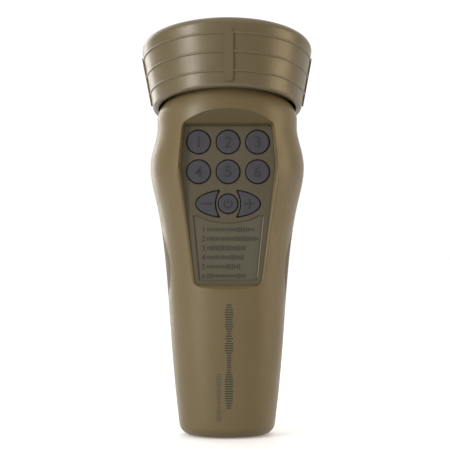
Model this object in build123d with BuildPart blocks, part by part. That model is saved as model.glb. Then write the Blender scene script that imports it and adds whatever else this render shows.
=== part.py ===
from build123d import *
import os
from math import cos, radians, sin, tan

os.makedirs("parts", exist_ok=True)

# ---------------------------------------------------------------- driving dimensions, millimetres
# Grip: an upright form of oval sections. It stands on its base and looks along -Y with its keys.
base_height = 0.5
base_half_width = 21.6
base_half_depth = 20.0
base_rounding = 5.5
handle_height = 42.0
handle_half_width = 25.1
handle_half_depth = 22.9
waist_height = 79.0
waist_half_width = 27.9
waist_half_depth = 25.6
flare_height = 104.0
flare_half_width = 31.8
flare_half_depth = 28.3
shoulder_height = 119.5
shoulder_half_width = 34.5
shoulder_half_depth = 30.0
shoulder_softness = 6.5
collar_height = 137.0
collar_half_width = 31.3
collar_half_depth = 29.1
collar_forward = 0.3
collar_lean = 6.0
wall = 2.4

# Bell: turned about its own leaning axis, which starts in the middle of the neck.
neck_height = 145.0
bell_lean = 14.0
bell_height = 31.3
bell_lip = 0.7
bell_lip_inner_radius = 30.5
bell_foot_radius = 33.1
bell_flare = 0.19
rim_rounding = 3.3
bead_spacing = 8.07
bead_start = 7.5
bead_count = 3
bead_width = 1.1
bead_rise = 0.45
rib_width = 3.8
rib_rise = 0.7
rib_start = 2.6
rib_end = 25.2
dome_radius = 27.8
dome_height = 3.0
neck_radius = 25.6
neck_length = 13.5
sleeve_wall = 2.2
sleeve_foot = 4.6
shelf_thickness = 1.8
web_thickness = 4.2

# Keypad in the face of the grip.
pocket_top_over_shoulder = 18.0
pocket_floor = 19.6
pocket_draft = 20.0
pocket_rim_rounding = 0.8
facet_foot = 3.0
facet_slope = 1.117
key_pitch_x = 12.9
key_pitch_z = 13.0
key_hole_radius = 5.5
key_gap = 0.5
key_proud = 0.6
key_flange = 0.6
rocker_half_width = 14.4
rocker_half_height = 6.4
rocker_arc = 9.8
rocker_arc_reach = 5.25
crescent_tip = 0.45
power_hole_radius = 4.6
plate_thickness = 1.2
plate_gap = 0.15
label_half_top = 15.1
label_half_bottom = 12.4
label_height = 28.4
label_depth = 0.8
label_step = 0.35
label_thickness = 0.3

# Electronics.
board_thickness = 1.6
board_gap = 4.1
board_screw_radius = 1.0
boss_radius = 1.9

# Power: three cells in a row behind a hinged door.
cell_radius = 5.25
cell_length = 44.5
cell_gap = 0.35
tray_wall = 1.5
tray_floor_z = 13.0
contact_room = 2.2
door_gap = 0.4
gasket_thickness = 0.5
ledge_thickness = 1.6
ledge_width = 2.4
hinge_radius = 2.4
pin_radius = 1.0
pin_clearance = 0.06
knuckle_width = 9.0
ear_width = 4.5
latch_travel = 4.0
latch_width = 12.0

# Speaker in the bell.
speaker_radius = 30.3
magnet_radius = 14.0
coil_radius = 6.8
grille_thickness = 1.2
grille_hole_radius = 1.6

# Fasteners and trim.
screw_radius = 1.4
screw_head_radius = 2.7
screw_boss_radius = 3.1
pad_half_length = 10.0
pad_half_height = 15.0
pad_thickness = 1.2
seam_thickness = 0.3
fit = 0.1
loose = 0.3
wire_radius = 0.6

# ---------------------------------------------------------------- shared planes and axes
lean = radians(bell_lean)
neck_point = (0, 0, neck_height)
bell_direction = (0, sin(lean), cos(lean))
bell_axis = Axis(neck_point, bell_direction)
bell_plane = Plane(origin=neck_point, x_dir=(1, 0, 0), z_dir=bell_direction)
bell_section = Plane(origin=neck_point, x_dir=(1, 0, 0), z_dir=(0, -cos(lean), sin(lean)))


def facing_plane(y):
    """A plane across the grip at depth y that looks out through the keys, with x and z as given."""
    return Plane(origin=(0, y, 0), x_dir=(1, 0, 0), z_dir=(0, -1, 0))


def back_plane(y):
    """A plane across the grip at depth y whose extrusions run towards the back."""
    return Plane(origin=(0, y, 0), x_dir=(-1, 0, 0), z_dir=(0, 1, 0))


def finish(piece, name):
    """Label a finished piece and write it under its own name."""
    piece.part.label = name
    export_step(piece.part, "parts/" + name + ".step")


def turned(*outline):
    """A piece turned about the bell's axis from corners given as (radius, height)."""
    with BuildPart() as piece:
        with BuildSketch(bell_section):
            with BuildLine():
                Polyline(*outline, close=True)
            make_face()
        revolve(axis=bell_axis)
    return piece.part


# ---------------------------------------------------------------- the grip's closed form
rounding_steps = [20, 42, 65, 90]
sections = [
    (handle_height, handle_half_width, handle_half_depth, 0, 0),
    (waist_height, waist_half_width, waist_half_depth, 0, 0),
    (flare_height, flare_half_width, flare_half_depth, 0, 0),
    (shoulder_height - shoulder_softness, shoulder_half_width - 0.65, shoulder_half_depth - 0.5, 0, 0),
    (shoulder_height, shoulder_half_width, shoulder_half_depth, 0, 0),
    (shoulder_height + shoulder_softness, shoulder_half_width - 0.75, shoulder_half_depth - 0.1, 2, 0),
    (collar_height, collar_half_width, collar_half_depth, collar_lean, collar_forward),
]


def oval(half_width, half_depth):
    """An oval face in four arcs, which meet clear of the keypad, the door, the pads and the parting."""
    with BuildSketch(mode=Mode.PRIVATE) as face:
        with BuildLine():
            for start, sweep in ((35, 110), (145, 70), (215, 110), (325, 70)):
                EllipticalCenterArc((0, 0), half_width, half_depth, start, arc_size=sweep)
        make_face()
    return face.sketch


def grip_form(inset, neck_over=0.0):
    """The grip as one closed solid, drawn in all round by inset, with its neck made longer by neck_over."""
    with BuildPart() as form:
        for turn in rounding_steps:
            bend = base_rounding - inset
            shrink = inset + bend * (1 - sin(radians(turn)))
            rise = bend * (cos(radians(rounding_steps[0])) - cos(radians(turn)))
            with BuildSketch(Plane.XY.offset(base_height + inset + rise)):
                add(oval(base_half_width - shrink, base_half_depth - shrink))
        for height, half_width, half_depth, section_lean, forward in sections:
            tilt = radians(section_lean)
            upwards = (0, sin(tilt), cos(tilt))
            with BuildSketch(Plane((0, -forward, height), x_dir=(1, 0, 0), z_dir=upwards)):
                add(oval(half_width - inset, half_depth - inset))
        with BuildSketch(bell_plane.offset(dome_height - inset)):
            add(oval(dome_radius - inset, dome_radius - inset))
        loft()
        with BuildSketch(bell_plane.offset(-inset)):
            Circle(neck_radius - inset)
        extrude(amount=neck_length + inset + neck_over)
    return form.part


# ---------------------------------------------------------------- where the keys and the label lie
pocket_top = shoulder_height + pocket_top_over_shoulder
top_row = pocket_top - key_hole_radius - 1.7
key_rows = [top_row, top_row - key_pitch_z]
rocker_z = key_rows[1] - key_pitch_z - 1.0
label_top = rocker_z - rocker_half_height + 1.35
label_bottom = label_top - label_height
pocket_bottom = label_bottom - 2.2
pocket_half_top = key_pitch_x + key_hole_radius + 0.75
pocket_half_shoulder = pocket_half_top + 1.5
pocket_half_bottom = label_half_bottom + 2.1
floor_y = -pocket_floor
shell_floor_y = floor_y + plate_thickness


def pocket_outline(grow):
    """The coffin-shaped floor of the keypad pocket, as a sketch for the plane that is open."""
    with BuildSketch(mode=Mode.PRIVATE) as outline:
        with BuildLine():
            Polyline(
                (-pocket_half_top, pocket_top),
                (pocket_half_top, pocket_top),
                (pocket_half_shoulder, shoulder_height),
                (pocket_half_bottom, pocket_bottom),
                (-pocket_half_bottom, pocket_bottom),
                (-pocket_half_shoulder, shoulder_height),
                close=True,
            )
        make_face()
        fillet(outline.vertices().group_by(Axis.Y)[0], 2.6)
        fillet(outline.vertices().group_by(Axis.Y)[-1], 0.8)
        if grow != 0:
            offset(amount=grow, kind=Kind.INTERSECTION)
    return outline.sketch


def pocket_space(grow):
    """The pocket with drafted walls and the slanted facet over it, grown by a wall for its backing."""
    facet_foot_y = floor_y - facet_foot + 1.3 * grow
    facet_foot_z = pocket_top + facet_foot * tan(radians(pocket_draft)) - grow
    facet_rise = 14.0 + grow
    with BuildPart() as space:
        with BuildSketch(facing_plane(floor_y + grow)):
            add(pocket_outline(grow))
        extrude(amount=16 + grow, taper=-pocket_draft)
        with BuildSketch(facing_plane(shell_floor_y + grow)):
            add(pocket_outline(grow))
        extrude(amount=plate_thickness + 0.01)
        with BuildSketch(Plane.YZ.offset(-shoulder_half_width)):
            with BuildLine():
                Polyline(
                    (facet_foot_y, facet_foot_z),
                    (facet_foot_y - facet_slope * facet_rise, facet_foot_z + facet_rise),
                    (-2 * shoulder_half_depth, facet_foot_z + facet_rise),
                    (-2 * shoulder_half_depth, facet_foot_z),
                    close=True,
                )
            make_face()
        extrude(amount=2 * shoulder_half_width)
    return space.part


def crescent(side, grow, inner_grow):
    """One crescent key beside the power key: an oval end with a hollow arc on its inner side."""
    with BuildSketch(mode=Mode.PRIVATE) as key:
        with Locations((0, rocker_z)):
            Ellipse(rocker_half_width + grow, rocker_half_height + grow)
        with Locations((-side * (rocker_arc - rocker_arc_reach), rocker_z)):
            Circle(rocker_arc - inner_grow, mode=Mode.SUBTRACT)
        with Locations((-side * rocker_half_width, rocker_z)):
            Rectangle(2 * rocker_half_width, 4 * rocker_half_height, mode=Mode.SUBTRACT)
        for tip in range(2):
            fillet(key.vertices().sort_by(Axis.X)[0 if side > 0 else -1], crescent_tip)
    return key.sketch


key_spots = [(column * key_pitch_x, row) for row in key_rows for column in (-1, 0, 1)]
crescent_reach = rocker_half_width - 4.4
shell_back_y = shell_floor_y + 2.0
board_front_y = shell_back_y + board_gap
board_back_y = board_front_y + board_thickness


def half_depth_at(height):
    """The grip's half depth at a height, between the sections above and below it."""
    steps = [(base_height + base_rounding, base_half_width, base_half_depth)] + sections
    for low, high in zip(steps, steps[1:]):
        if low[0] <= height <= high[0]:
            share = (height - low[0]) / (high[0] - low[0])
            return low[2] + share * (high[2] - low[2])


# ---------------------------------------------------------------- where screws, tray and door lie
board_spots = [
    (-pocket_half_shoulder - 0.7, shoulder_height + 4.5),
    (pocket_half_shoulder + 0.7, shoulder_height + 4.5),
    (-pocket_half_bottom + 5.5, pocket_bottom + 7.0),
    (pocket_half_bottom - 5.5, pocket_bottom + 7.0),
]
upper_screw_x = shoulder_half_width - wall - screw_boss_radius - 1.4
shell_screw_spots = [
    (-upper_screw_x, shoulder_height - 7.5),
    (upper_screw_x, shoulder_height - 7.5),
    (-14.0, base_height + wall + 5.1),
    (14.0, base_height + wall + 5.1),
]
screw_seat_y = 4.0
screw_reach = 9.0
cell_pitch = 2 * cell_radius + cell_gap
cell_y = 1.5
tray_half = cell_pitch + cell_radius + 0.2 + tray_wall
tray_front_y = cell_y - cell_radius - tray_wall
tray_back_y = cell_y + cell_radius + 0.25
tray_top_z = tray_floor_z + 2 * tray_wall + 2 * contact_room + cell_length
cell_bottom_z = tray_floor_z + tray_wall + contact_room
tray_screw_spots = [(-cell_pitch / 2, tray_floor_z + 14.0), (cell_pitch / 2, tray_top_z - 14.0)]
door_half = tray_half - tray_wall + 0.3
door_top = tray_top_z + 0.6
hinge_z = tray_floor_z
hinge_y = half_depth_at(hinge_z) - wall / 2
hinge_sweep = hinge_radius + 0.35
tab_half = knuckle_width / 2 + ear_width + loose
door_foot = hinge_z + 3.2
ledge_inset = wall + loose + gasket_thickness
opening_y = tray_back_y + 2.0


def door_outline(grow):
    """The door's outline from behind, with the tab that carries its hinge, grown or drawn in."""
    with BuildSketch(mode=Mode.PRIVATE) as outline:
        with Locations((0, (door_foot + door_top) / 2)):
            RectangleRounded(2 * (door_half + grow), door_top - door_foot + 2 * grow, 3.6 + grow)
        with Locations((0, (hinge_z - grow + door_foot + 4) / 2)):
            Rectangle(2 * (tab_half + grow), door_foot + 4 - hinge_z + grow)
    return outline.sketch


def door_prism(grow):
    """The door's outline run out towards the back, through the grip's wall."""
    with BuildPart() as prism:
        with BuildSketch(back_plane(opening_y)):
            add(door_outline(grow))
        extrude(amount=2 * shoulder_half_depth)
    return prism.part


def cross_bar(radius, start, end):
    """A round bar along X on the hinge's axis, from start to end."""
    with BuildPart() as bar:
        with BuildSketch(Plane(origin=(start, hinge_y, hinge_z), x_dir=(0, 1, 0), z_dir=(1, 0, 0))):
            Circle(radius)
        extrude(amount=end - start)
    return bar.part


def pad_space(grow):
    """The ovals on both flanks that hold the grip pads, open to the outside."""
    with BuildPart() as space:
        with BuildSketch(Plane.YZ.offset(-2 * shoulder_half_width)):
            with Locations((0.8, waist_height - 2.0)):
                Ellipse(pad_half_length + grow, pad_half_height + grow)
        extrude(amount=4 * shoulder_half_width)
        add(grip_form(pad_thickness), mode=Mode.SUBTRACT)
    return space.part


def keep_side(side, depth):
    """A block that keeps one side of the parting plane, from depth outwards."""
    with BuildPart() as block:
        with Locations((0, side * (depth + 200), neck_height)):
            Box(400, 400, 800)
    return block.part


grip_outer = grip_form(0)
grip_inner = grip_form(wall, 2 * wall)
pad_pocket = pad_space(0.25)
neck_groove = turned(
    (neck_radius - 1.4, 8.1), (neck_radius + 1, 8.1), (neck_radius + 1, 9.9), (neck_radius - 1.4, 9.9)
)
foot_half_width = base_half_width - base_rounding - 1.2
foot_half_depth = base_half_depth - base_rounding - 1.2
with BuildPart() as foot_recess:
    with BuildSketch(Plane.XY):
        Ellipse(foot_half_width + 0.15, foot_half_depth + 0.15)
    extrude(amount=base_height + 0.8)


# ---------------------------------------------------------------- front shell
with BuildPart() as front_bosses:
    with BuildSketch(facing_plane(-seam_thickness / 2)):
        with Locations(*shell_screw_spots):
            Circle(screw_boss_radius)
    extrude(amount=13)
    with BuildSketch(facing_plane(tray_front_y)):
        with Locations(*tray_screw_spots):
            Circle(boss_radius + 0.4)
    extrude(amount=base_half_depth)
    add(grip_outer, mode=Mode.INTERSECT)

with BuildPart() as front_shell:
    add(grip_outer)
    add(grip_inner, mode=Mode.SUBTRACT)
    add(pocket_space(2.0) & grip_outer)
    add(pocket_space(0), mode=Mode.SUBTRACT)
    add(keep_side(-1, seam_thickness / 2), mode=Mode.INTERSECT)
    rim_edges = [
        edge
        for edge in front_shell.edges()
        if edge.length > 20 and edge.center().Z < shoulder_height and edge.bounding_box().max.Y < floor_y - 0.9
    ]
    fillet(rim_edges, pocket_rim_rounding)
    add(front_bosses.part)
    with BuildSketch(facing_plane(board_front_y)):
        with Locations(*board_spots):
            Circle(boss_radius)
    extrude(amount=board_gap + 0.8)
    with BuildSketch(facing_plane(shell_back_y + 0.5)):
        with Locations(*key_spots):
            Circle(key_hole_radius)
        with Locations((0, rocker_z)):
            Circle(power_hole_radius)
        for side in (-1, 1):
            add(crescent(side, 0, 0))
    extrude(amount=3.5, mode=Mode.SUBTRACT)
    with BuildSketch(facing_plane(board_front_y)):
        with Locations(*board_spots):
            Circle(board_screw_radius)
    extrude(amount=board_gap + 0.4, mode=Mode.SUBTRACT)
    with BuildSketch(facing_plane(-seam_thickness / 2)):
        with Locations(*shell_screw_spots):
            Circle(screw_radius)
    extrude(amount=screw_reach + 0.5, mode=Mode.SUBTRACT)
    with BuildSketch(facing_plane(tray_front_y)):
        with Locations(*tray_screw_spots):
            Circle(board_screw_radius)
    extrude(amount=6, mode=Mode.SUBTRACT)
    add(pad_pocket, mode=Mode.SUBTRACT)
    add(neck_groove, mode=Mode.SUBTRACT)
    add(foot_recess.part, mode=Mode.SUBTRACT)
finish(front_shell, "front_shell")


# ---------------------------------------------------------------- rear shell
with BuildPart() as rear_bosses:
    with BuildSketch(back_plane(seam_thickness / 2)):
        with Locations(*shell_screw_spots):
            Circle(screw_head_radius + 1.3)
    extrude(amount=shoulder_half_depth)
    add(grip_outer, mode=Mode.INTERSECT)

with BuildPart() as door_ledge:
    add(door_prism(2.0))
    add(door_prism(-ledge_width), mode=Mode.SUBTRACT)
    add(grip_form(wall - 0.2), mode=Mode.INTERSECT)
    add(grip_form(ledge_inset + ledge_thickness), mode=Mode.SUBTRACT)
    add(door_prism(door_gap) - grip_form(ledge_inset), mode=Mode.SUBTRACT)
    with Locations((0, 0, door_foot + 1.5 - 100)):
        Box(200, 200, 200, mode=Mode.SUBTRACT)

with BuildPart() as rear_shell:
    add(grip_outer)
    add(grip_inner, mode=Mode.SUBTRACT)
    add(keep_side(1, seam_thickness / 2), mode=Mode.INTERSECT)
    add(rear_bosses.part)
    with BuildSketch(back_plane(seam_thickness / 2)):
        with Locations(*shell_screw_spots):
            Circle(screw_radius + 0.3)
    extrude(amount=screw_seat_y, mode=Mode.SUBTRACT)
    with BuildSketch(back_plane(screw_seat_y)):
        with Locations(*shell_screw_spots):
            Circle(screw_head_radius + 0.3)
    extrude(amount=shoulder_half_depth, mode=Mode.SUBTRACT)
    add(door_prism(door_gap), mode=Mode.SUBTRACT)
    add(door_ledge.part)
    for side in (-1, 1):
        near = knuckle_width / 2 + loose
        far = near + ear_width
        add(cross_bar(hinge_radius, min(side * near, side * far), max(side * near, side * far)))
    add(cross_bar(hinge_sweep, -knuckle_width / 2 - loose, knuckle_width / 2 + loose), mode=Mode.SUBTRACT)
    add(cross_bar(pin_radius + pin_clearance, -2 * tab_half, 2 * tab_half), mode=Mode.SUBTRACT)
    add(pad_pocket, mode=Mode.SUBTRACT)
    add(neck_groove, mode=Mode.SUBTRACT)
    add(foot_recess.part, mode=Mode.SUBTRACT)
finish(rear_shell, "rear_shell")


# ---------------------------------------------------------------- gasket between the shells, pads, foot
with BuildPart() as seam_gasket:
    with Locations((0, 0, neck_height / 2)):
        Box(4 * shoulder_half_width, seam_thickness, 2 * neck_height)
    add(grip_form(0.6), mode=Mode.INTERSECT)
    add(grip_form(1.8, 2 * wall), mode=Mode.SUBTRACT)
    add(pad_pocket, mode=Mode.SUBTRACT)
    add(neck_groove, mode=Mode.SUBTRACT)
    add(foot_recess.part, mode=Mode.SUBTRACT)
finish(seam_gasket, "seam_gasket")

pads = pad_space(0) & grip_outer
for side, name in ((-1, "side_grip_left"), (1, "side_grip_right")):
    with BuildPart() as side_grip:
        add(pads.solids().sort_by(Axis.X)[0 if side < 0 else -1])
    finish(side_grip, name)

with BuildPart() as foot_pad:
    with BuildSketch(Plane.XY):
        Ellipse(foot_half_width, foot_half_depth)
    extrude(amount=base_height + 0.8)
    fillet(foot_pad.edges().group_by(Axis.Z)[0], 0.3)
finish(foot_pad, "foot_pad")


# ---------------------------------------------------------------- faceplate and label
def label_outline(gap):
    """The label's outline, drawn in by gap; its top edge follows the oval of the volume keys."""
    with BuildSketch(mode=Mode.PRIVATE) as outline:
        with BuildLine():
            Polyline(
                (gap - label_half_top, label_top),
                (label_half_top - gap, label_top),
                (label_half_bottom - gap, label_bottom + gap),
                (gap - label_half_bottom, label_bottom + gap),
                close=True,
            )
        make_face()
        fillet(outline.vertices().group_by(Axis.Y)[0], 1.0)
        with Locations((0, rocker_z)):
            Ellipse(rocker_half_width + 2.6 + gap, rocker_half_height + 2.1 + gap, mode=Mode.SUBTRACT)
    return outline.sketch


with BuildPart() as faceplate:
    with BuildSketch(facing_plane(shell_floor_y)):
        add(pocket_outline(-plate_gap))
        with Locations(*key_spots):
            Circle(key_hole_radius, mode=Mode.SUBTRACT)
        with Locations((0, rocker_z)):
            Circle(power_hole_radius, mode=Mode.SUBTRACT)
        for side in (-1, 1):
            add(crescent(side, 0, 0), mode=Mode.SUBTRACT)
    extrude(amount=plate_thickness)
    with BuildSketch(facing_plane(floor_y + label_depth)):
        add(label_outline(0))
    extrude(amount=label_depth, mode=Mode.SUBTRACT)
    with BuildSketch(facing_plane(floor_y + label_step)):
        add(label_outline(-label_step))
    extrude(amount=label_step, mode=Mode.SUBTRACT)
finish(faceplate, "faceplate")

with BuildPart() as legend_label:
    with BuildSketch(facing_plane(floor_y + label_depth)):
        add(label_outline(0.12))
    extrude(amount=label_thickness)
finish(legend_label, "legend_label")


# ---------------------------------------------------------------- keys
def key_body(cap, flange, stem_spot):
    """A key: its cap stands out of the faceplate, its flange holds it in, its stem meets the web."""
    flange_y = shell_back_y + 0.25
    with BuildPart() as key:
        with BuildSketch(facing_plane(flange_y)):
            add(cap)
        extrude(amount=flange_y - floor_y + key_proud)
        fillet(key.edges().group_by(Axis.Y)[0], 0.35)
        with BuildSketch(facing_plane(flange_y + 0.8)):
            add(flange)
        extrude(amount=0.8)
        with BuildSketch(facing_plane(flange_y + 1.65)):
            with Locations(stem_spot):
                Circle(1.6)
        extrude(amount=0.85)
    return key


def round_key(spot, hole_radius, flange):
    """A round key on its spot."""
    with BuildSketch(mode=Mode.PRIVATE) as cap:
        with Locations(spot):
            Circle(hole_radius - key_gap)
    with BuildSketch(mode=Mode.PRIVATE) as lip:
        with Locations(spot):
            Circle(hole_radius + flange)
    return key_body(cap.sketch, lip.sketch, spot)


for number, spot in enumerate(key_spots, start=1):
    finish(round_key(spot, key_hole_radius, key_flange), "key_" + str(number))
finish(round_key((0, rocker_z), power_hole_radius, key_gap), "power_key")
for side, name in ((-1, "volume_down_key"), (1, "volume_up_key")):
    cap = crescent(side, -key_gap, -key_gap)
    flange = crescent(side, key_flange, -key_gap)
    finish(key_body(cap, flange, (side * crescent_reach, rocker_z)), name)


# ---------------------------------------------------------------- keypad web, domes and circuit board
press_spots = key_spots + [(0, rocker_z), (-crescent_reach, rocker_z), (crescent_reach, rocker_z)]
web_half = key_pitch_x + key_hole_radius + 0.5
web_top = key_rows[0] + key_hole_radius + 1.0
web_bottom = rocker_z - rocker_half_height - 1.0
sheet_thickness = 0.6
dome_reach = 2.4
dome_thickness = 0.3
with BuildPart() as keypad_web:
    with BuildSketch(facing_plane(board_front_y)):
        with Locations((0, (web_top + web_bottom) / 2)):
            RectangleRounded(2 * web_half, web_top - web_bottom, 2.0)
    extrude(amount=sheet_thickness)
    with BuildSketch(facing_plane(board_front_y - sheet_thickness)):
        with Locations(*press_spots):
            Circle(2.2)
    extrude(amount=0.4, taper=30)
    with BuildSketch(facing_plane(board_front_y)):
        with Locations(*press_spots):
            Circle(dome_reach + 0.2)
    extrude(amount=dome_thickness + 0.05, mode=Mode.SUBTRACT)
finish(keypad_web, "keypad_web")

with BuildPart() as switch_domes:
    with BuildSketch(facing_plane(board_front_y)):
        with Locations(*press_spots):
            Circle(dome_reach)
    extrude(amount=dome_thickness)
finish(switch_domes, "switch_domes")

with BuildPart() as circuit_board:
    with BuildSketch(facing_plane(board_back_y)):
        add(pocket_outline(2.9))
        with Locations(*board_spots):
            Circle(board_screw_radius + 0.2, mode=Mode.SUBTRACT)
    extrude(amount=board_thickness)
finish(circuit_board, "circuit_board")

chip_places = [(0, top_row - 9, 12, 12), (-11, rocker_z - 6, 8, 6), (9, rocker_z - 10, 10, 7)]
with BuildPart() as chips:
    for x, z, width, height in chip_places:
        with BuildSketch(back_plane(board_back_y)):
            with Locations((-x, z)):
                Rectangle(width, height)
    extrude(amount=1.4)
finish(chips, "chips")

with BuildPart() as capacitors:
    with BuildSketch(back_plane(board_back_y)):
        with Locations((-12.5, shoulder_height - 2), (12.5, shoulder_height - 2)):
            Circle(3.1)
    extrude(amount=7.0)
    fillet(capacitors.edges().group_by(Axis.Y)[-1], 0.5)
finish(capacitors, "capacitors")


def pan_screws(name, seat_y, spots, shank_radius, head_radius, head_height, reach):
    """Screws that run from their seat towards the keys, their heads behind the seat."""
    with BuildPart() as screws:
        with BuildSketch(facing_plane(seat_y)):
            with Locations(*spots):
                Circle(shank_radius)
        extrude(amount=reach)
        with BuildSketch(facing_plane(seat_y + head_height)):
            with Locations(*spots):
                Circle(head_radius)
        extrude(amount=head_height)
        fillet(screws.edges().group_by(Axis.Y)[-1], head_height * 0.4)
        for turn in (0, 90):
            with BuildSketch(facing_plane(seat_y + head_height + 0.01)):
                with Locations(*spots):
                    Rectangle(head_radius * 1.1, head_radius * 0.28, rotation=turn)
            extrude(amount=head_height * 0.55, mode=Mode.SUBTRACT)
    finish(screws, name)


screw_slack = 0.05
small_shank = board_screw_radius - screw_slack
shell_shank = screw_radius - screw_slack
shell_reach = screw_seat_y + screw_reach - 0.5
pan_screws("board_screws", board_back_y, board_spots, small_shank, 1.9, 1.3, 5.0)
pan_screws("shell_screws", screw_seat_y, shell_screw_spots, shell_shank, screw_head_radius, 2, shell_reach)


# ---------------------------------------------------------------- battery tray, cells and contacts
with BuildPart() as battery_tray:
    with Locations((0, (tray_front_y + tray_back_y) / 2, (tray_floor_z + tray_top_z) / 2)):
        Box(2 * tray_half, tray_back_y - tray_front_y, tray_top_z - tray_floor_z)
    fillet(battery_tray.edges().filter_by(Axis.Z), 1.2)
    with Locations((0, (tray_front_y + tray_wall + tray_back_y + 5) / 2, (tray_floor_z + tray_top_z) / 2)):
        Box(
            2 * (tray_half - tray_wall),
            tray_back_y + 5 - tray_front_y - tray_wall,
            tray_top_z - tray_floor_z - 2 * tray_wall,
            mode=Mode.SUBTRACT,
        )
    with BuildSketch(back_plane(tray_front_y)):
        with Locations(*[(-x, z) for x, z in tray_screw_spots]):
            Circle(board_screw_radius + 0.2)
    extrude(amount=tray_wall, mode=Mode.SUBTRACT)
finish(battery_tray, "battery_tray")
pan_screws("tray_screws", tray_front_y + tray_wall, tray_screw_spots, small_shank, 1.7, 1.1, 6.0)

nub_height = 1.0
for number, column in enumerate((-1, 0, 1), start=1):
    upright = column != 0
    can_foot_z = cell_bottom_z + (0 if upright else nub_height)
    with BuildPart() as cell:
        with BuildSketch(Plane((column * cell_pitch, cell_y, can_foot_z))):
            Circle(cell_radius)
        extrude(amount=cell_length - nub_height)
        fillet(cell.edges(), 0.5)
        nub_z = cell_bottom_z + (cell_length - nub_height if upright else 0)
        with BuildSketch(Plane((column * cell_pitch, cell_y, nub_z))):
            Circle(1.9)
        extrude(amount=nub_height)
    finish(cell, "cell_" + str(number))

contact_plate = 0.4
contact_width = 8.0
contact_rise = contact_room - contact_plate - 0.1
low_plate_z = cell_bottom_z - contact_room
high_plate_z = cell_bottom_z + cell_length + contact_room - contact_plate
with BuildPart() as spring_contacts:
    for column in (-1, 0, 1):
        plate_z = low_plate_z if column != 0 else high_plate_z
        coil_z = plate_z + contact_plate if column != 0 else plate_z - contact_rise
        with Locations((column * cell_pitch, cell_y, plate_z + contact_plate / 2)):
            Box(contact_width, contact_width, contact_plate)
        with BuildSketch(Plane((column * cell_pitch, cell_y, coil_z))):
            Circle(3.3)
            Circle(2.3, mode=Mode.SUBTRACT)
        extrude(amount=contact_rise)
finish(spring_contacts, "spring_contacts")

with BuildPart() as flat_contacts:
    for column in (-1, 0, 1):
        plate_z = low_plate_z if column == 0 else high_plate_z
        button_z = plate_z + contact_plate if column == 0 else plate_z - contact_rise
        with Locations((column * cell_pitch, cell_y, plate_z + contact_plate / 2)):
            Box(contact_width, contact_width, contact_plate)
        with BuildSketch(Plane((column * cell_pitch, cell_y, button_z))):
            Circle(2.0)
        extrude(amount=contact_rise)
finish(flat_contacts, "flat_contacts")


# ---------------------------------------------------------------- battery door, its latch, pin and gasket
latch_z = door_top - 9.0
latch_slope = radians(4.2)
latch_outwards = (0, cos(latch_slope), -sin(latch_slope))
latch_plane = Plane(origin=(0, half_depth_at(latch_z), latch_z), x_dir=(-1, 0, 0), z_dir=latch_outwards)
thumb_depth = 1.0
latch_half = latch_width / 2
stem_half = 2.0
tongue_depth = 7.8
with BuildPart() as battery_door:
    add(door_prism(0))
    add(grip_outer, mode=Mode.INTERSECT)
    add(grip_inner, mode=Mode.SUBTRACT)
    for side in (-1, 1):
        near = side * knuckle_width / 2
        far = side * 2 * tab_half
        add(cross_bar(hinge_sweep, min(near, far), max(near, far)), mode=Mode.SUBTRACT)
    add(cross_bar(hinge_radius, -knuckle_width / 2, knuckle_width / 2))
    add(cross_bar(pin_radius + pin_clearance, -tab_half, tab_half), mode=Mode.SUBTRACT)
    with BuildSketch(latch_plane.offset(-thumb_depth)):
        with Locations((0, latch_travel / 2)):
            RectangleRounded(2 * latch_half + 5, 8.0 + latch_travel + 1.2, 1.5)
    extrude(amount=6, mode=Mode.SUBTRACT)
    with BuildSketch(latch_plane.offset(-6)):
        with Locations((0, latch_travel / 2)):
            Rectangle(2 * stem_half + 0.6, 2 * stem_half + latch_travel + 0.6)
    extrude(amount=6, mode=Mode.SUBTRACT)
finish(battery_door, "battery_door")

tongue_top = door_top - ledge_width - 0.8 - latch_z
with BuildPart() as door_latch:
    with BuildSketch(latch_plane.offset(-thumb_depth + 0.25)):
        RectangleRounded(2 * latch_half, 8.0, 1.2)
    extrude(amount=1.1)
    fillet(door_latch.faces().sort_by(Axis.Y)[-1].edges(), 0.3)
    with BuildSketch(latch_plane.offset(-thumb_depth + 1.3)):
        with GridLocations(0, 2.0, 1, 3):
            Rectangle(2 * latch_half - 2.5, 0.8)
    extrude(amount=0.45)
    with BuildSketch(latch_plane.offset(-tongue_depth)):
        Rectangle(2 * stem_half, 2 * stem_half)
    extrude(amount=tongue_depth - thumb_depth + 0.3)
    with BuildSketch(latch_plane.offset(-3.9)):
        with Locations((0, -0.5)):
            Rectangle(7.0, 5.0)
    extrude(amount=0.9)
    with BuildSketch(latch_plane.offset(-tongue_depth)):
        with Locations((0, (tongue_top - stem_half) / 2)):
            Rectangle(8.0, tongue_top + stem_half)
    extrude(amount=1.2)
finish(door_latch, "door_latch")

with BuildPart() as hinge_pin:
    add(cross_bar(pin_radius, -tab_half + 0.3, tab_half - 0.3))
finish(hinge_pin, "hinge_pin")

with BuildPart() as door_gasket:
    add(door_prism(-0.3))
    add(door_prism(-ledge_width), mode=Mode.SUBTRACT)
    add(grip_form(wall + loose), mode=Mode.INTERSECT)
    add(grip_form(ledge_inset), mode=Mode.SUBTRACT)
    with Locations((0, 0, door_foot + 1.5 - 100)):
        Box(200, 200, 200, mode=Mode.SUBTRACT)
finish(door_gasket, "door_gasket")


# ---------------------------------------------------------------- bell
def bell_outer(height):
    """The bell's outer radius at a height along its axis."""
    return bell_foot_radius + bell_flare * height


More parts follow.
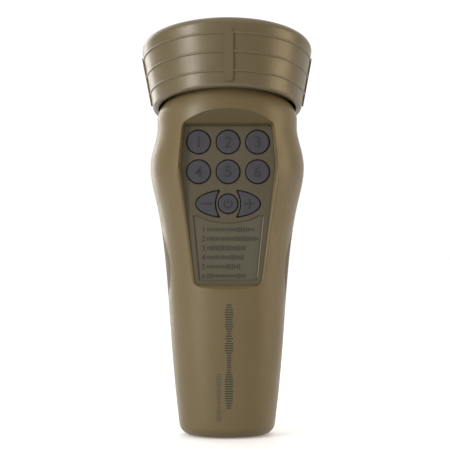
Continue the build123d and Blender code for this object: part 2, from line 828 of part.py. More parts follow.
shelf_top = neck_length + 0.3 + shelf_thickness
web_bottom_height = neck_length + 0.3
speaker_step = web_bottom_height + web_thickness
speaker_seat = speaker_step + 0.6
grille_seat = speaker_seat + 3.9
grille_radius = speaker_radius + 2.7
sleeve_radius = neck_radius + fit
mouth_radius = bell_outer(bell_height) - 5.4
bell_inside = bell_lip_inner_radius + 0.8
inside_top = bell_inside + bell_flare * (web_bottom_height - 3.0)
rim_corner = (bell_outer(bell_height), bell_height)
mouth_corner = (mouth_radius, bell_height)
lip_corner = (bell_outer(bell_lip), bell_lip)
lip_inner_corner = (bell_lip_inner_radius, bell_lip)
with BuildPart() as bell:
    with BuildSketch(bell_section) as bell_profile:
        with BuildLine():
            Polyline(
                lip_inner_corner,
                lip_corner,
                rim_corner,
                mouth_corner,
                (grille_radius + 0.4, grille_seat),
                (speaker_radius + 0.4, grille_seat),
                (speaker_radius + 0.4, speaker_step),
                (speaker_radius - 2.9, speaker_step),
                (speaker_radius - 2.9, shelf_top),
                (neck_radius - 1.4, shelf_top),
                (neck_radius - 1.4, web_bottom_height),
                (sleeve_radius, web_bottom_height),
                (sleeve_radius, sleeve_foot),
                (sleeve_radius + sleeve_wall, sleeve_foot),
                (sleeve_radius + sleeve_wall, web_bottom_height),
                (inside_top, web_bottom_height),
                (bell_inside, 3.0),
                (bell_lip_inner_radius, 2.2),
                close=True,
            )
        make_face()
        fillet(bell_profile.vertices().sort_by_distance(rim_corner)[0], rim_rounding)
        fillet(bell_profile.vertices().sort_by_distance(mouth_corner)[0], 1.0)
        fillet(bell_profile.vertices().sort_by_distance(lip_corner)[0], 1.5)
        fillet(bell_profile.vertices().sort_by_distance(lip_inner_corner)[0], 0.7)
        bead_radius = (bead_width**2 / 4 + bead_rise**2) / (2 * bead_rise)
        for number in range(bead_count):
            height = bead_start + number * bead_spacing
            with Locations((bell_outer(height) + bead_rise - bead_radius, height)):
                Circle(bead_radius)
    revolve(axis=bell_axis)

    for turn in range(4):
        angle = radians(90 * turn)
        across = bell_plane.x_dir * cos(angle) + bell_plane.y_dir * sin(angle)
        along = bell_plane.z_dir.cross(across)
        with BuildSketch(Plane(origin=neck_point, x_dir=along, z_dir=across).offset(bell_foot_radius - 3)):
            with Locations((0, (rib_start + rib_end) / 2)):
                SlotOverall(rib_end - rib_start, rib_width, rotation=90)
        rib = extrude(amount=12, mode=Mode.PRIVATE)
        rib_skin = turned(
            (bell_outer(0) - 1.5, 0),
            (bell_outer(0) + rib_rise, 0),
            (bell_outer(bell_height) + rib_rise, bell_height),
            (bell_outer(bell_height) - 1.5, bell_height),
        )
        add(rib & rib_skin)

    screw_spots_bell = PolarLocations(speaker_radius - 1.7, 4, start_angle=45)
    with BuildSketch(bell_plane.offset(speaker_step)):
        with screw_spots_bell:
            Circle(board_screw_radius)
    extrude(amount=-3.4, mode=Mode.SUBTRACT)
finish(bell, "bell")

with BuildPart() as neck_seal:
    with BuildSketch(bell_section):
        with Locations((neck_radius - 0.65, 9.0)):
            Circle(0.7)
    revolve(axis=bell_axis)
finish(neck_seal, "neck_seal")


# ---------------------------------------------------------------- speaker
seat = speaker_seat
with BuildPart() as speaker_frame:
    add(
        turned(
            (speaker_radius, seat),
            (speaker_radius, seat + 1.2),
            (speaker_radius - 4.3, seat + 1.2),
            (speaker_radius - 4.9, seat + 0.5),
            (speaker_radius - 7.9, seat - 2.6),
            (magnet_radius - 0.6, seat - 13.0),
            (coil_radius + 1.7, seat - 13.0),
            (coil_radius + 1.7, seat - 14.0),
            (magnet_radius + 0.5, seat - 14.0),
            (magnet_radius + 0.5, seat - 13.4),
            (speaker_radius - 6.9, seat - 3.2),
            (speaker_radius - 3.6, seat),
        )
    )
    with BuildSketch(bell_plane.offset(seat - 14.5)):
        with PolarLocations((magnet_radius + speaker_radius) / 2 - 3.5, 8):
            Circle(2.3)
    extrude(amount=13, mode=Mode.SUBTRACT)
    with BuildSketch(bell_plane.offset(seat - 1)):
        with PolarLocations(speaker_radius - 1.7, 4, start_angle=45):
            Circle(board_screw_radius + 0.2)
    extrude(amount=3, mode=Mode.SUBTRACT)
finish(speaker_frame, "speaker_frame")

magnet_top = seat - 14.0
with BuildPart() as speaker_magnet:
    add(
        turned(
            (0, magnet_top - 8),
            (magnet_radius, magnet_top - 8),
            (magnet_radius, magnet_top),
            (coil_radius + 0.7, magnet_top),
            (coil_radius + 0.7, magnet_top - 6.8),
            (coil_radius - 0.7, magnet_top - 6.8),
            (coil_radius - 0.7, magnet_top),
            (0, magnet_top),
        )
    )
finish(speaker_magnet, "speaker_magnet")

coil_top = seat - 10.0
with BuildPart() as voice_coil:
    add(
        turned(
            (coil_radius - 0.3, coil_top - 9),
            (coil_radius + 0.3, coil_top - 9),
            (coil_radius + 0.3, coil_top),
            (coil_radius - 0.3, coil_top),
        )
    )
finish(voice_coil, "voice_coil")

cone_edge = speaker_radius - 6.3
with BuildPart() as speaker_cone:
    add(
        turned(
            (coil_radius + 0.3, coil_top - 0.7),
            (cone_edge, seat - 0.3),
            (cone_edge, seat + 0.3),
            (coil_radius + 0.3, coil_top),
        )
    )
finish(speaker_cone, "speaker_cone")

with BuildPart() as dust_cap:
    add(
        turned(
            (0, coil_top + 2.3),
            (0, coil_top + 2.8),
            (4.2, coil_top + 2.3),
            (coil_radius + 1.0, coil_top + 0.75),
            (coil_radius + 0.5, coil_top + 0.45),
            (4.0, coil_top + 1.8),
        )
    )
finish(dust_cap, "dust_cap")

roll = speaker_radius - 4.8
with BuildPart() as cone_surround:
    with BuildSketch(bell_section):
        with Locations((roll, seat + 1.25)):
            Circle(1.25)
            Circle(0.85, mode=Mode.SUBTRACT)
            Rectangle(4, 2.5, align=(Align.CENTER, Align.MAX), mode=Mode.SUBTRACT)
    revolve(axis=bell_axis)
finish(cone_surround, "cone_surround")

with BuildPart() as speaker_gasket:
    with BuildSketch(bell_plane.offset(speaker_step)):
        Circle(speaker_radius)
        Circle(speaker_radius - 2.8, mode=Mode.SUBTRACT)
        with PolarLocations(speaker_radius - 1.7, 4, start_angle=45):
            Circle(board_screw_radius + 0.15, mode=Mode.SUBTRACT)
    extrude(amount=speaker_seat - speaker_step)
finish(speaker_gasket, "speaker_gasket")

with BuildPart() as speaker_screws:
    with BuildSketch(bell_plane.offset(speaker_step - 3.2)):
        with PolarLocations(speaker_radius - 1.7, 4, start_angle=45):
            Circle(board_screw_radius - screw_slack)
    extrude(amount=3.2 + speaker_seat - speaker_step + 1.2)
    with BuildSketch(bell_plane.offset(seat + 1.2)):
        with PolarLocations(speaker_radius - 1.7, 4, start_angle=45):
            Circle(1.6)
    extrude(amount=1.1)
finish(speaker_screws, "speaker_screws")


# ---------------------------------------------------------------- grille and its ring
dome_edge = grille_radius - 4.0
dome_rise = 2.0
with BuildPart() as grille:
    with BuildSketch(bell_section):
        with BuildLine():
            low = grille_seat + 0.1
            high = low + grille_thickness
            Polyline((0, low + dome_rise), (0, high + dome_rise))
            bulge = dome_rise * 0.75
            ThreePointArc((0, high + dome_rise), (dome_edge / 2, high + bulge), (dome_edge, high))
            Polyline((dome_edge, high), (grille_radius, high), (grille_radius, low), (dome_edge, low))
            ThreePointArc((dome_edge, low), (dome_edge / 2, low + bulge), (0, low + dome_rise))
        make_face()
    revolve(axis=bell_axis)
    with BuildSketch(bell_plane.offset(grille_seat - 1)):
        Circle(grille_hole_radius)
        for ring in range(1, 6):
            with PolarLocations(ring * 5.2, 6 * ring):
                Circle(grille_hole_radius)
    extrude(amount=8, mode=Mode.SUBTRACT)
finish(grille, "grille")

with BuildPart() as grille_ring:
    ring_foot = grille_seat + 0.1 + grille_thickness
    ring_outer = grille_radius + 0.3
    with BuildSketch(bell_section) as ring_profile:
        with BuildLine():
            Polyline(
                (ring_outer, ring_foot),
                (ring_outer, ring_foot + 2.4),
                (ring_outer - 2.2, ring_foot + 1.6),
                (ring_outer - 3.2, ring_foot),
                close=True,
            )
        make_face()
        fillet(ring_profile.vertices().sort_by_distance((ring_outer - 2.2, ring_foot + 1.6))[0], 0.8)
    revolve(axis=bell_axis)
finish(grille_ring, "grille_ring")


# ---------------------------------------------------------------- wires
def wires(name, route, gap):
    """A pair of wires, one each side of the middle, along a route of (y, z) points."""
    with BuildPart() as pair:
        for side in (-1, 1):
            points = [(side * gap, y, z) for y, z in route]
            with BuildLine(mode=Mode.PRIVATE) as path:
                FilletPolyline(*points, radius=1.4)
            start = path.line.edges().sort_by_distance(points[0])[0]
            direction = Vector(*points[1]) - Vector(*points[0])
            with BuildSketch(Plane(origin=points[0], z_dir=direction)):
                Circle(wire_radius)
            sweep(path=path.line)
    finish(pair, name)


wires(
    "battery_wires",
    [
        (2.0, tray_top_z),
        (2.0, tray_top_z + 5),
        (-6.0, pocket_bottom + 12),
        (board_back_y, pocket_bottom + 12),
    ],
    11.0,
)
wires(
    "speaker_wires",
    [
        (board_back_y, pocket_top - 1.5),
        (board_back_y + 3.2, pocket_top - 1.5),
        (board_back_y + 3.2, pocket_top + 3.8),
        (board_back_y - 8.0, pocket_top + 5.2),
        (board_back_y - 6.4, pocket_top + 16.0),
    ],
    3.0,
)
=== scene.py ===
import math
import random

import bmesh
import bpy
from mathutils import Matrix, Vector


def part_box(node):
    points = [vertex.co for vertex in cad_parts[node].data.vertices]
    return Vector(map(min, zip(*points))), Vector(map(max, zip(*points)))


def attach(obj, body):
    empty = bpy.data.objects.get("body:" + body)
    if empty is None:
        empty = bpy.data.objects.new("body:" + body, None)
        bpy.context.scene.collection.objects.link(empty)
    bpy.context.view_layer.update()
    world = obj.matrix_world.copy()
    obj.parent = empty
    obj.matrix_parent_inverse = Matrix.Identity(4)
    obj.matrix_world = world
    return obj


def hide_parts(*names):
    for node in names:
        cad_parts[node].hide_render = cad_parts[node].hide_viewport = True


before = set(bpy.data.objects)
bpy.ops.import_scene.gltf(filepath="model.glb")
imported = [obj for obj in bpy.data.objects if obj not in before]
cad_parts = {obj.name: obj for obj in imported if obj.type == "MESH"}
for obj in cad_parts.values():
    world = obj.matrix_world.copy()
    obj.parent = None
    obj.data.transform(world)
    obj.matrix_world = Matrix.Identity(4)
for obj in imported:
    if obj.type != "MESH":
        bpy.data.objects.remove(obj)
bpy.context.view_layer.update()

# ---------------------------------------------------------------- table, room and camera
# The caller stands on a white table in a bright room. The lens is a long one, level with the keypad,
# a little to the left of the middle.
camera_distance = 0.700
camera_height = 0.0940
camera_turn = math.radians(1.1)
lens = bpy.data.cameras.new("camera")
lens.lens = 124.4
lens.sensor_width = 36.0
lens.shift_x = -0.005
camera = bpy.data.objects.new("camera", lens)
camera.location = (
    -camera_distance * math.sin(camera_turn),
    -camera_distance * math.cos(camera_turn),
    camera_height,
)
camera.rotation_euler = (math.radians(90), 0, -camera_turn)
bpy.context.scene.collection.objects.link(camera)
bpy.context.scene.camera = camera
bpy.context.scene.view_settings.view_transform = "Standard"

table = bmesh.new()
bmesh.ops.create_grid(table, x_segments=1, y_segments=1, size=4.0)
table_mesh = bpy.data.meshes.new("table_top")
table.to_mesh(table_mesh)
table.free()
table_top = bpy.data.objects.new("table_top", table_mesh)
bpy.context.scene.collection.objects.link(table_top)
table_white = bpy.data.materials.new("table_white")
table_white.use_nodes = True
table_paint = table_white.node_tree.nodes["Principled BSDF"].inputs
table_paint["Base Color"].default_value = (0.93, 0.93, 0.94, 1)
table_paint["Roughness"].default_value = 0.6
table_paint["Emission Color"].default_value = (1, 1, 1, 1)
table_paint["Emission Strength"].default_value = 0.18
table_mesh.materials.append(table_white)
table_top.visible_diffuse = False

room = bpy.data.worlds.new("room")
room.use_nodes = True
bpy.context.scene.world = room
room_nodes = room.node_tree.nodes
room_links = room.node_tree.links
look = room_nodes.new("ShaderNodeTexCoord")
split = room_nodes.new("ShaderNodeSeparateXYZ")
fade = room_nodes.new("ShaderNodeMapRange")
fade.inputs["From Min"].default_value = 0.25
fade.inputs["From Max"].default_value = 0.95
fade.inputs["To Min"].default_value = 0.34
fade.inputs["To Max"].default_value = 1.05
room_links.new(look.outputs["Generated"], split.inputs[0])
room_links.new(split.outputs["Y"], fade.inputs["Value"])
room_links.new(fade.outputs[0], room_nodes["Background"].inputs["Strength"])
room_nodes["Background"].inputs["Color"].default_value = (1, 1, 1, 1)


def soft_box(name, place, aim, width, height, power, warmth=0.0):
    """A soft light that faces a point on the caller."""
    lamp = bpy.data.lights.new(name, "AREA")
    lamp.shape = "RECTANGLE"
    lamp.size = width
    lamp.size_y = height
    lamp.energy = power
    lamp.color = (1.0, 1.0 - 0.12 * warmth, 1.0 - 0.30 * warmth)
    light = bpy.data.objects.new(name, lamp)
    light.location = place
    light.rotation_euler = (Vector(aim) - Vector(place)).to_track_quat("-Z", "Y").to_euler()
    bpy.context.scene.collection.objects.link(light)


middle = (0, 0, 0.10)
soft_box("window_left", (-0.80, -0.58, 0.30), middle, 0.24, 0.80, 9.0, 0.45)
soft_box("window_right", (0.95, -0.15, 0.25), middle, 0.45, 0.6, 4.8, 1.7)
soft_box("front_fill", (0.10, -0.75, 0.05), (0, 0, 0.13), 0.9, 0.08, 0.45)
soft_box("edge_left", (-0.52, 0.70, 0.20), middle, 0.22, 0.7, 2.6, 0.45)
sky = bpy.data.lights.new("skylight", "SUN")
sky.energy = 1.25
sky.angle = math.radians(110)
skylight = bpy.data.objects.new("skylight", sky)
skylight.rotation_euler = (math.radians(-8), 0, 0)
bpy.context.scene.collection.objects.link(skylight)


# ---------------------------------------------------------------- grip shells
# The grip is two moulded halves in olive tan plastic with a fine spark-eroded grain, joined with four
# screws from the back. Handling has rubbed it a little smoother and paler in patches.
def tone(red, green, blue):
    """A colour as it looks on a paint card, from 0 to 255, made linear for the shader."""
    shares = [value / 255 for value in (red, green, blue)]
    return tuple(((share + 0.055) / 1.055) ** 2.4 for share in shares) + (1,)


class Reading:
    """A value read from a socket, so that sums on it can be written as plain expressions."""

    def __init__(self, finish, socket):
        self.finish = finish
        self.socket = socket

    def reckon(self, operation, first, second):
        return self.finish.node("ShaderNodeMath", {"operation": operation}, {0: first, 1: second})

    def __add__(self, other):
        return self.reckon("ADD", self, other)

    __radd__ = __add__

    def __sub__(self, other):
        return self.reckon("SUBTRACT", self, other)

    def __rsub__(self, other):
        return self.reckon("SUBTRACT", other, self)

    def __mul__(self, other):
        return self.reckon("MULTIPLY", self, other)

    __rmul__ = __mul__

    def __gt__(self, other):
        return self.reckon("GREATER_THAN", self, other)

    def __lt__(self, other):
        return self.reckon("LESS_THAN", self, other)


class Finish:
    """One material of the caller. Its patterns are laid out in the caller's own space, in metres."""

    def __init__(self, name, roughness, metallic=0.0, coat=0.0, shine=0.5):
        self.material = bpy.data.materials.new(name)
        self.material.use_nodes = True
        self.nodes = self.material.node_tree.nodes
        self.links = self.material.node_tree.links
        self.surface = self.nodes["Principled BSDF"]
        self.surface.inputs["Roughness"].default_value = roughness
        self.surface.inputs["Metallic"].default_value = metallic
        self.surface.inputs["Coat Weight"].default_value = coat
        self.surface.inputs["Specular IOR Level"].default_value = shine
        self.place = self.node("ShaderNodeTexCoord", output="Object")

    def node(self, kind, settings=None, inputs=None, output=0):
        """Add a node: its settings first, then its sockets' values or links."""
        made = self.nodes.new(kind)
        for setting, value in (settings or {}).items():
            if setting == "stops":
                ramp = made.color_ramp
                while len(ramp.elements) < len(value):
                    ramp.elements.new(0.5)
                for element, (position, colour) in zip(ramp.elements, value):
                    element.position = position
                    element.color = colour
            else:
                setattr(made, setting, value)
        for socket, value in (inputs or {}).items():
            if isinstance(value, Reading):
                self.links.new(value.socket, made.inputs[socket])
            else:
                made.inputs[socket].default_value = value
        return Reading(self, made.outputs[output])

    def noise(self, scale, detail=2.0, place=None):
        """Cloudy noise, with scale in spots to the metre."""
        sockets = {"Vector": place or self.place, "Scale": scale, "Detail": detail}
        return self.node("ShaderNodeTexNoise", {}, sockets)

    def stretched(self, scale, turn=(0, 0, 0)):
        """The caller's space stretched along its axes, for scratches and drawn metal."""
        sockets = {"Vector": self.place, "Scale": scale, "Rotation": turn}
        return self.node("ShaderNodeMapping", {}, sockets)

    def blend(self, share, low, high):
        """A colour between two others."""
        return self.node("ShaderNodeMix", {"data_type": "RGBA"}, {0: share, 6: low, 7: high}, output=2)

    def colour(self, reading):
        self.links.new(reading.socket, self.surface.inputs["Base Color"])

    def roughness(self, reading):
        self.links.new(reading.socket, self.surface.inputs["Roughness"])

    def grain(self, height, depth, strength=1.0):
        """Raise the surface by height, a value from 0 to 1, times depth in metres."""
        sockets = {"Height": height, "Distance": depth, "Strength": strength}
        bump = self.node("ShaderNodeBump", {}, sockets)
        self.links.new(bump.socket, self.surface.inputs["Normal"])


def dress(finish, *names):
    """Give CAD nodes their finish."""
    for name in names:
        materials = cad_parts[name].data.materials
        materials.clear()
        materials.append(finish.material)


def moulded(name, base, worn, roughness, shine=0.34):
    """Moulded plastic with an eroded grain, cloudy tone, and faint scratches from the field."""
    plastic = Finish(name, roughness, shine=shine)
    clouds = plastic.noise(38, 3)
    grain = plastic.noise(1900, 2)
    scratch_place = plastic.stretched((900, 900, 60), (0.3, 0.5, 0.2))
    scratches = plastic.noise(1.0, 1.0, scratch_place) > 0.76
    rubbed = plastic.node(
        "ShaderNodeValToRGB",
        {"stops": [(0.42, (0, 0, 0, 1)), (0.68, (1, 1, 1, 1))]},
        {0: plastic.noise(75, 4)},
    )
    tint = plastic.blend(clouds * 0.9 + scratches * 0.10, base, worn)
    speck = plastic.blend((grain > 0.64) * 0.16, tint, tone(60, 52, 38))
    plastic.colour(speck)
    plastic.roughness(roughness + 0.04 - rubbed * 0.08 + grain * 0.06)
    plastic.grain(grain - scratches * 0.25, 0.00007, 0.8)
    return plastic


shell_tan = moulded("shell_tan", tone(103, 90, 61), tone(113, 99, 69), 0.34)
dress(shell_tan, "front_shell", "rear_shell")

# ---------------------------------------------------------------- bell
# The bell is moulded in one piece in the same plastic, ringed by three beads and braced by four ribs.
# It slides over the neck of the grip and leans back a little.
bell_tan = moulded("bell_tan", tone(97, 86, 60), tone(107, 95, 68), 0.30, 0.48)
dress(bell_tan, "bell")

# ---------------------------------------------------------------- faceplate and legend label
# The faceplate is a thin dark moulding let into the pocket. The legend label is a printed film glued
# into a shallow recess in it, with one row for each key. A thin strip on the recess's right edge is a
# painted highlight.
plate_brown = moulded("plate_brown", tone(80, 74, 57), tone(88, 81, 63), 0.5)
dress(plate_brown, "faceplate")
label_film = Finish("label_film", 0.5)
label_film.colour(label_film.blend(label_film.noise(160, 3), tone(74, 70, 52), tone(82, 77, 58)))
label_film.roughness(0.42 + label_film.noise(900, 2) * 0.16)
label_film.grain(label_film.noise(2600, 1), 0.00002)
dress(label_film, "legend_label")


def as_piece(form, name, body, finish):
    """Make a bmesh into a piece that rides on a body and wears the given finish."""
    mesh = bpy.data.meshes.new(name)
    form.to_mesh(mesh)
    form.free()
    mesh.materials.append(finish.material)
    piece = bpy.data.objects.new(name, mesh)
    bpy.context.scene.collection.objects.link(piece)
    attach(piece, body)
    return piece


def bar(form, centre, size, rounding):
    """Add a flat printed bar with rounded corners, in the plane of the keypad."""
    made = bmesh.ops.create_cube(form, size=1.0)["verts"]
    bmesh.ops.scale(form, vec=size, verts=made)
    bmesh.ops.translate(form, vec=centre, verts=made)
    edges = {edge for vert in made for edge in vert.link_edges}
    across = [edge for edge in edges if abs(edge.verts[0].co.y - edge.verts[1].co.y) > size[1] / 2]
    bmesh.ops.bevel(
        form, geom=across, offset=rounding, affect="EDGES", segments=2, profile=0.5, material=-1
    )


label_low, label_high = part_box("legend_label")
print_depth = 0.00005
row_start = -0.0090
row_ends = (0.0115, 0.0129, 0.0079, 0.0070, 0.0051, 0.0080)
row_pitch = 0.00406
stroke_width = 0.00048
stroke_height = 0.0023
stroke_pitch = 0.00078
first_row = label_high.z - 0.00625
print_ink = Finish("print_ink", 0.6)
print_ink.colour(print_ink.blend(print_ink.noise(700, 3), tone(38, 34, 26), tone(48, 43, 34)))
print_ink.grain(print_ink.noise(3000, 1), 0.00001)
luck = random.Random(7)
waves = bmesh.new()
for row, end in enumerate(row_ends):
    along = row_start
    swell = 0.5
    while along < end:
        swell = min(1.0, max(0.6, swell + luck.uniform(-0.35, 0.37)))
        place = (along, label_low.y - print_depth / 2, first_row - row * row_pitch)
        bar(waves, place, (stroke_width, print_depth, stroke_height * swell), 0.0001)
        along += stroke_pitch
as_piece(waves, "legend_waves", "housing", print_ink)


def printed(text, name, height, centre, depth, body, finish):
    """A numeral as a thin raised print that faces the user, centred on a point."""
    letters = bpy.data.curves.new(name, "FONT")
    letters.body = text
    letters.size = height * 1.38
    letters.extrude = depth / 2
    letters.offset = height * 0.018
    source = bpy.data.objects.new(name + "_source", letters)
    bpy.context.scene.collection.objects.link(source)
    bpy.context.view_layer.update()
    mesh = bpy.data.meshes.new_from_object(source)
    bpy.data.objects.remove(source)
    mesh.transform(Matrix.Rotation(math.radians(90), 4, "X"))
    places = [vert.co for vert in mesh.vertices]
    for axis in range(3):
        reach = [place[axis] for place in places]
        shift = Vector((0, 0, 0))
        shift[axis] = centre[axis] - (min(reach) + max(reach)) / 2
        mesh.transform(Matrix.Translation(shift))
    mesh.name = name
    mesh.materials.clear()
    mesh.materials.append(finish.material)
    piece = bpy.data.objects.new(name, mesh)
    bpy.context.scene.collection.objects.link(piece)
    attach(piece, body)
    return piece


number_height = 0.0024
number_x = -0.0107
for row in range(6):
    spot = (number_x, label_low.y - print_depth / 2, first_row - row * row_pitch)
    name = "legend_number_" + str(row + 1)
    printed(str(row + 1), name, number_height, spot, print_depth, "housing", print_ink)

# Painted highlight: a thin raised strip, coloured pale against the dark faceplate, stands in for the glint
# on the recess's right edge.
glint_width = 0.00034
glint_top = Vector((0.01550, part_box("faceplate")[0].y, label_high.z - 0.0008))
glint_foot = Vector((0.01285, glint_top.y, label_low.z + 0.0012))
glint_line = glint_top - glint_foot
glint_strip = bmesh.new()
bar(glint_strip, (0, 0, 0), (glint_width, glint_width, glint_line.length), glint_width / 3)
glint_lean = Matrix.Rotation(math.atan2(glint_line.x, glint_line.z), 3, "Y")
bmesh.ops.rotate(glint_strip, cent=(0, 0, 0), matrix=glint_lean, verts=glint_strip.verts[:])
bmesh.ops.translate(glint_strip, vec=(glint_top + glint_foot) / 2, verts=glint_strip.verts[:])
# Painted glint: this pale colour stands in for light caught on the edge, not for a paler plastic.
painted_glint = Finish("painted_glint", 0.25)
glint_clouds = painted_glint.noise(300, 3)
painted_glint.colour(painted_glint.blend(glint_clouds, tone(124, 114, 86), tone(142, 132, 104)))
painted_glint.grain(painted_glint.noise(900, 2), 0.00001)
as_piece(glint_strip, "label_painted_glint", "housing", painted_glint)

# ---------------------------------------------------------------- number keys
# Six round caps of dark silicone rubber, slightly dished by use, each with its number moulded in a
# darker rubber. They stand a little out of the faceplate.
def soft_rubber(name, base, pale, roughness):
    """Silicone or soft-touch rubber: dull, with a dusty bloom and a very fine grain."""
    rubber = Finish(name, roughness)
    dust = rubber.noise(420, 4)
    rubber.colour(rubber.blend(dust * 0.8, base, pale))
    rubber.roughness(roughness - 0.06 + dust * 0.14)
    rubber.grain(rubber.noise(3200, 2), 0.00003)
    return rubber


key_grey = soft_rubber("key_grey", tone(47, 46, 53), tone(57, 56, 63), 0.5)
numeral_dark = soft_rubber("numeral_dark", tone(20, 20, 21), tone(30, 30, 31), 0.5)
key_print = 0.00012
key_sink = 0.00002
numeral_height = 0.0050
for number in range(1, 7):
    key = "key_" + str(number)
    dress(key_grey, key)
    low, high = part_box(key)
    face = ((low.x + high.x) / 2, low.y - key_print / 2 + key_sink, (low.z + high.z) / 2)
    printed(str(number), key + "_numeral", numeral_height, face, key_print, key, numeral_dark)

# ---------------------------------------------------------------- power and volume keys
# A round power key between two crescent volume keys, of the same rubber. Their signs are the plain
# symbols for less, power and more.
dress(key_grey, "power_key", "volume_down_key", "volume_up_key")
sign_width = 0.0046
stroke = 0.00085
power_low, power_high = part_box("power_key")
sign_y = power_low.y - key_print / 2 + key_sink
sign_z = (power_low.z + power_high.z) / 2
down_low, down_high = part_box("volume_down_key")
up_low, up_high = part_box("volume_up_key")
down_x = (down_low.x + down_high.x) / 2
up_x = (up_low.x + up_high.x) / 2

less = bmesh.new()
bar(less, (down_x, sign_y, sign_z), (sign_width, key_print, stroke), 0.0001)
as_piece(less, "volume_down_sign", "volume_down_key", numeral_dark)

more = bmesh.new()
bar(more, (up_x, sign_y, sign_z), (sign_width, key_print, stroke), 0.0001)
bar(more, (up_x, sign_y, sign_z), (stroke, key_print * 1.02, sign_width), 0.0001)
as_piece(more, "volume_up_sign", "volume_up_key", numeral_dark)

power = bmesh.new()
bar(power, (0, sign_y, sign_z + 0.0011), (stroke * 0.9, key_print, 0.0020), 0.0001)
ring_radius = 0.0017
ring_gap = math.radians(41.6667)
section = [
    power.verts.new((ring_radius + across, sign_y + deep, sign_z))
    for across, deep in (
        (-stroke * 0.4, -key_print / 2),
        (stroke * 0.4, -key_print / 2),
        (stroke * 0.4, key_print / 2),
        (-stroke * 0.4, key_print / 2),
    )
]
start_face = power.faces.new(section)
bmesh.ops.rotate(
    power,
    cent=(0, sign_y, sign_z),
    matrix=Matrix.Rotation(-(math.radians(90) - ring_gap), 3, "Y"),
    verts=section,
)
bmesh.ops.spin(
    power,
    geom=[start_face] + list(start_face.edges) + section,
    cent=(0, sign_y, sign_z),
    axis=(0, -1, 0),
    dvec=(0, 0, 0),
    angle=-(math.radians(360) - 2 * ring_gap),
    steps=40,
    use_duplicate=False,
)
bmesh.ops.recalc_face_normals(power, faces=power.faces[:])
as_piece(power, "power_sign", "power_key", numeral_dark)

# ---------------------------------------------------------------- printed mark on the grip
# A dark mark is pad-printed down the front of the grip. It is drawn here as a plain call pattern of
# ticks, long and short, with a fainter one beside its foot.
mark_ink = Finish("mark_ink", 0.5)
mark_ink.colour(mark_ink.blend(mark_ink.noise(900, 3), tone(34, 30, 22), tone(46, 41, 30)))
mark_ink.grain(mark_ink.noise(1900, 2), 0.00004)
faint_ink = Finish("faint_ink", 0.5)
faint_ink.colour(faint_ink.blend(faint_ink.noise(900, 3), tone(60, 54, 39), tone(72, 65, 48)))
faint_ink.grain(faint_ink.noise(1900, 2), 0.00004)
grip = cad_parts["front_shell"]
ink_lift = 0.00003
ink_depth = 0.00002
in_front = -0.1


def lay_ticks(name, middle_x, top, foot, reach, pitch, height, finish, seed):
    """Level ticks of uneven length, one above the other, laid on the curve of the grip."""
    chance = random.Random(seed)
    form = bmesh.new()
    level = top
    swell = 0.6
    while level > foot:
        swell = min(1.0, max(0.5, swell + chance.uniform(-0.35, 0.42)))
        made = bmesh.ops.create_grid(form, x_segments=6, y_segments=1, size=0.5)["verts"]
        bmesh.ops.scale(form, vec=(reach * swell, height, 1), verts=made)
        bmesh.ops.rotate(form, cent=(0, 0, 0), matrix=Matrix.Rotation(math.radians(90), 3, "X"), verts=made)
        bmesh.ops.translate(form, vec=(middle_x, in_front, level), verts=made)
        level -= pitch
    for vert in form.verts:
        where = grip.ray_cast(vert.co, (0, 1, 0))[1]
        vert.co = where + Vector((0, -ink_lift, 0))
    bmesh.ops.solidify(form, geom=form.faces[:], thickness=ink_depth)
    bmesh.ops.recalc_face_normals(form, faces=form.faces[:])
    return as_piece(form, name, "housing", finish)


lay_ticks("grip_mark", 0.00035, 0.0592, 0.0130, 0.0036, 0.00105, 0.00062, mark_ink, 11)
lay_ticks("grip_mark_small", -0.0041, 0.0288, 0.0082, 0.0024, 0.00085, 0.00045, faint_ink, 5)

# ---------------------------------------------------------------- side grip pads
# Two oval pads of soft rubber are pressed into the flanks, where the hand closes. Their faces carry a
# fine pattern of raised dots.
pad_rubber = Finish("pad_rubber", 0.62)
pad_dots = pad_rubber.node(
    "ShaderNodeTexVoronoi",
    {"feature": "F1"},
    {"Vector": pad_rubber.stretched((0.25, 1, 1)), "Scale": 620.0, "Randomness": 0.0},
)
# Painted shade: the colour darkens with distance from each dot centre, so the hollows between the raised
# dots carry painted shade.
pad_rubber.colour(pad_rubber.blend(pad_dots, tone(92, 82, 59), tone(74, 66, 47)))
pad_rubber.roughness(0.55 + pad_rubber.noise(600, 3) * 0.2)
pad_rubber.grain(1 - pad_dots, 0.00030)
dress(pad_rubber, "side_grip_left", "side_grip_right")

# ---------------------------------------------------------------- foot pad, seals and door gasket
# A rubber foot is glued under the flat base, so that the caller can stand. A flat gasket seals the
# halves, a cord seal the neck, and another gasket the battery door.
seal_black = soft_rubber("seal_black", tone(34, 33, 31), tone(48, 46, 42), 0.6)
dress(seal_black, "foot_pad", "seam_gasket", "neck_seal", "door_gasket", "speaker_gasket")

# ---------------------------------------------------------------- battery door, latch and hinge
# The battery door is moulded to the line of the rear half and swings down on a steel pin. Its ribbed
# thumb slide runs in a shallow recess near the top.
dress(shell_tan, "battery_door")
latch_brown = moulded("latch_brown", tone(92, 84, 64), tone(104, 95, 74), 0.5)
dress(latch_brown, "door_latch")


def bright_metal(name, base, pale, roughness, drawn=(1, 1, 1)):
    """Plated or bare metal with drawing marks along its length, and dull spots."""
    metal = Finish(name, roughness, metallic=1.0)
    marks = metal.noise(260, 3, metal.stretched(drawn))
    metal.colour(metal.blend(marks, base, pale))
    metal.roughness(roughness - 0.08 + marks * 0.22)
    metal.grain(marks, 0.00001)
    return metal


zinc = bright_metal("zinc", tone(150, 150, 146), tone(196, 195, 188), 0.34, (1, 6, 6))
dress(zinc, "hinge_pin", "shell_screws", "board_screws", "tray_screws", "speaker_screws")

# ---------------------------------------------------------------- battery tray, cells and contacts
# A black tray holds three AAA cells in a row, the middle one upside down. Coil springs press on the
# flat ends and pressed plates meet the buttons.
tray_black = moulded("tray_black", tone(38, 38, 38), tone(50, 50, 49), 0.5)
dress(tray_black, "battery_tray")

